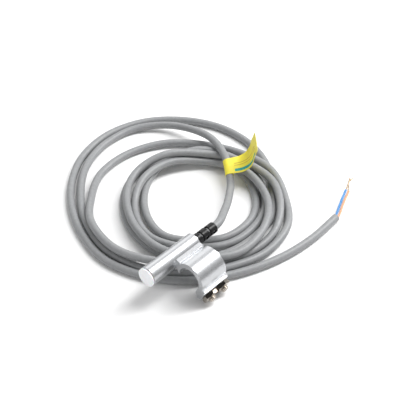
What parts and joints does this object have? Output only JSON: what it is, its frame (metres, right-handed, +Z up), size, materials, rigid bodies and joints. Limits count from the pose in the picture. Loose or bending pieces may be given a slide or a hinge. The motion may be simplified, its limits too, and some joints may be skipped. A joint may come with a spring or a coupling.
{
  "type": "cylinder position sensor",
  "caption": "Round aluminium magnetic proximity sensor with a C-shaped tie-rod clamp, set screws, lock nuts and a thin grey cable in loose loops with a bare end.",
  "frame": {"origin": "on the floor, under the middle of the sensor head", "axes": "+Y along the tube from its sensing end to its cable end, +X from the tube towards the clamp arm, +Z up"},
  "size_m": [0.1393, 0.1365, 0.0307],
  "materials": {
    "aluminium": "satin extruded, clear anodised",
    "white_plastic": "smooth moulded",
    "black_boot": "semi-gloss moulded",
    "nickel": "bright nickel plating",
    "grey_jacket": "satin PVC",
    "yellow_label": "satin film",
    "blue_core": "satin PVC",
    "brown_core": "satin PVC",
    "copper": "bare copper strands",
    "board": "solder mask",
    "reed_glass": "clear",
    "lead_metal": "tinned",
    "lamp_lens": "clear red",
    "component": "moulded",
    "solder": "bright solder",
    "sleeve": "insulating film",
    "seal": "matt"
  },
  "bodies": {
    "root": {"clamp_housing": "aluminium", "front_plug": "white_plastic", "strain_relief": "black_boot", "insulating_sleeve": "sleeve", "circuit_board": "board", "reed_glass": "reed_glass", "reed_lead_front": "lead_metal", "reed_lead_rear": "lead_metal", "indicator_led": "lamp_lens", "series_resistor": "component", "protection_diode": "component", "solder_joint_1": "solder", "solder_joint_2": "solder", "solder_joint_3": "solder", "solder_joint_4": "solder", "rear_seal": "seal", "inner_core_blue": "blue_core", "inner_core_brown": "brown_core", "cable": "grey_jacket", "cable_flag_label": "yellow_label", "core_blue": "blue_core", "core_brown": "brown_core", "conductor_blue": "copper", "conductor_brown": "copper"},
    "set_screw_front": {"set_screw_front": "nickel"},
    "set_screw_rear": {"set_screw_rear": "nickel"},
    "lock_nut_front": {"lock_nut_front": "nickel"},
    "lock_nut_rear": {"lock_nut_rear": "nickel"}
  },
  "joints": [
    {"name": "set_screw_front_travel", "type": "slide", "parent": "root", "child": "set_screw_front", "axis": [0.9272, 0, -0.3746], "range_m": [-0.003, 0.002]},
    {"name": "set_screw_rear_travel", "type": "slide", "parent": "root", "child": "set_screw_rear", "axis": [0.9272, 0, -0.3746], "range_m": [-0.003, 0.002]},
    {"name": "lock_nut_front_turn", "type": "hinge", "parent": "root", "child": "lock_nut_front", "pos_m": [0.01151, -0.0034, 0.00407], "axis": [0.9272, 0, -0.3746], "continuous": true},
    {"name": "lock_nut_rear_turn", "type": "hinge", "parent": "root", "child": "lock_nut_rear", "pos_m": [0.01151, 0.0049, 0.00407], "axis": [0.9272, 0, -0.3746], "continuous": true}
  ]
}
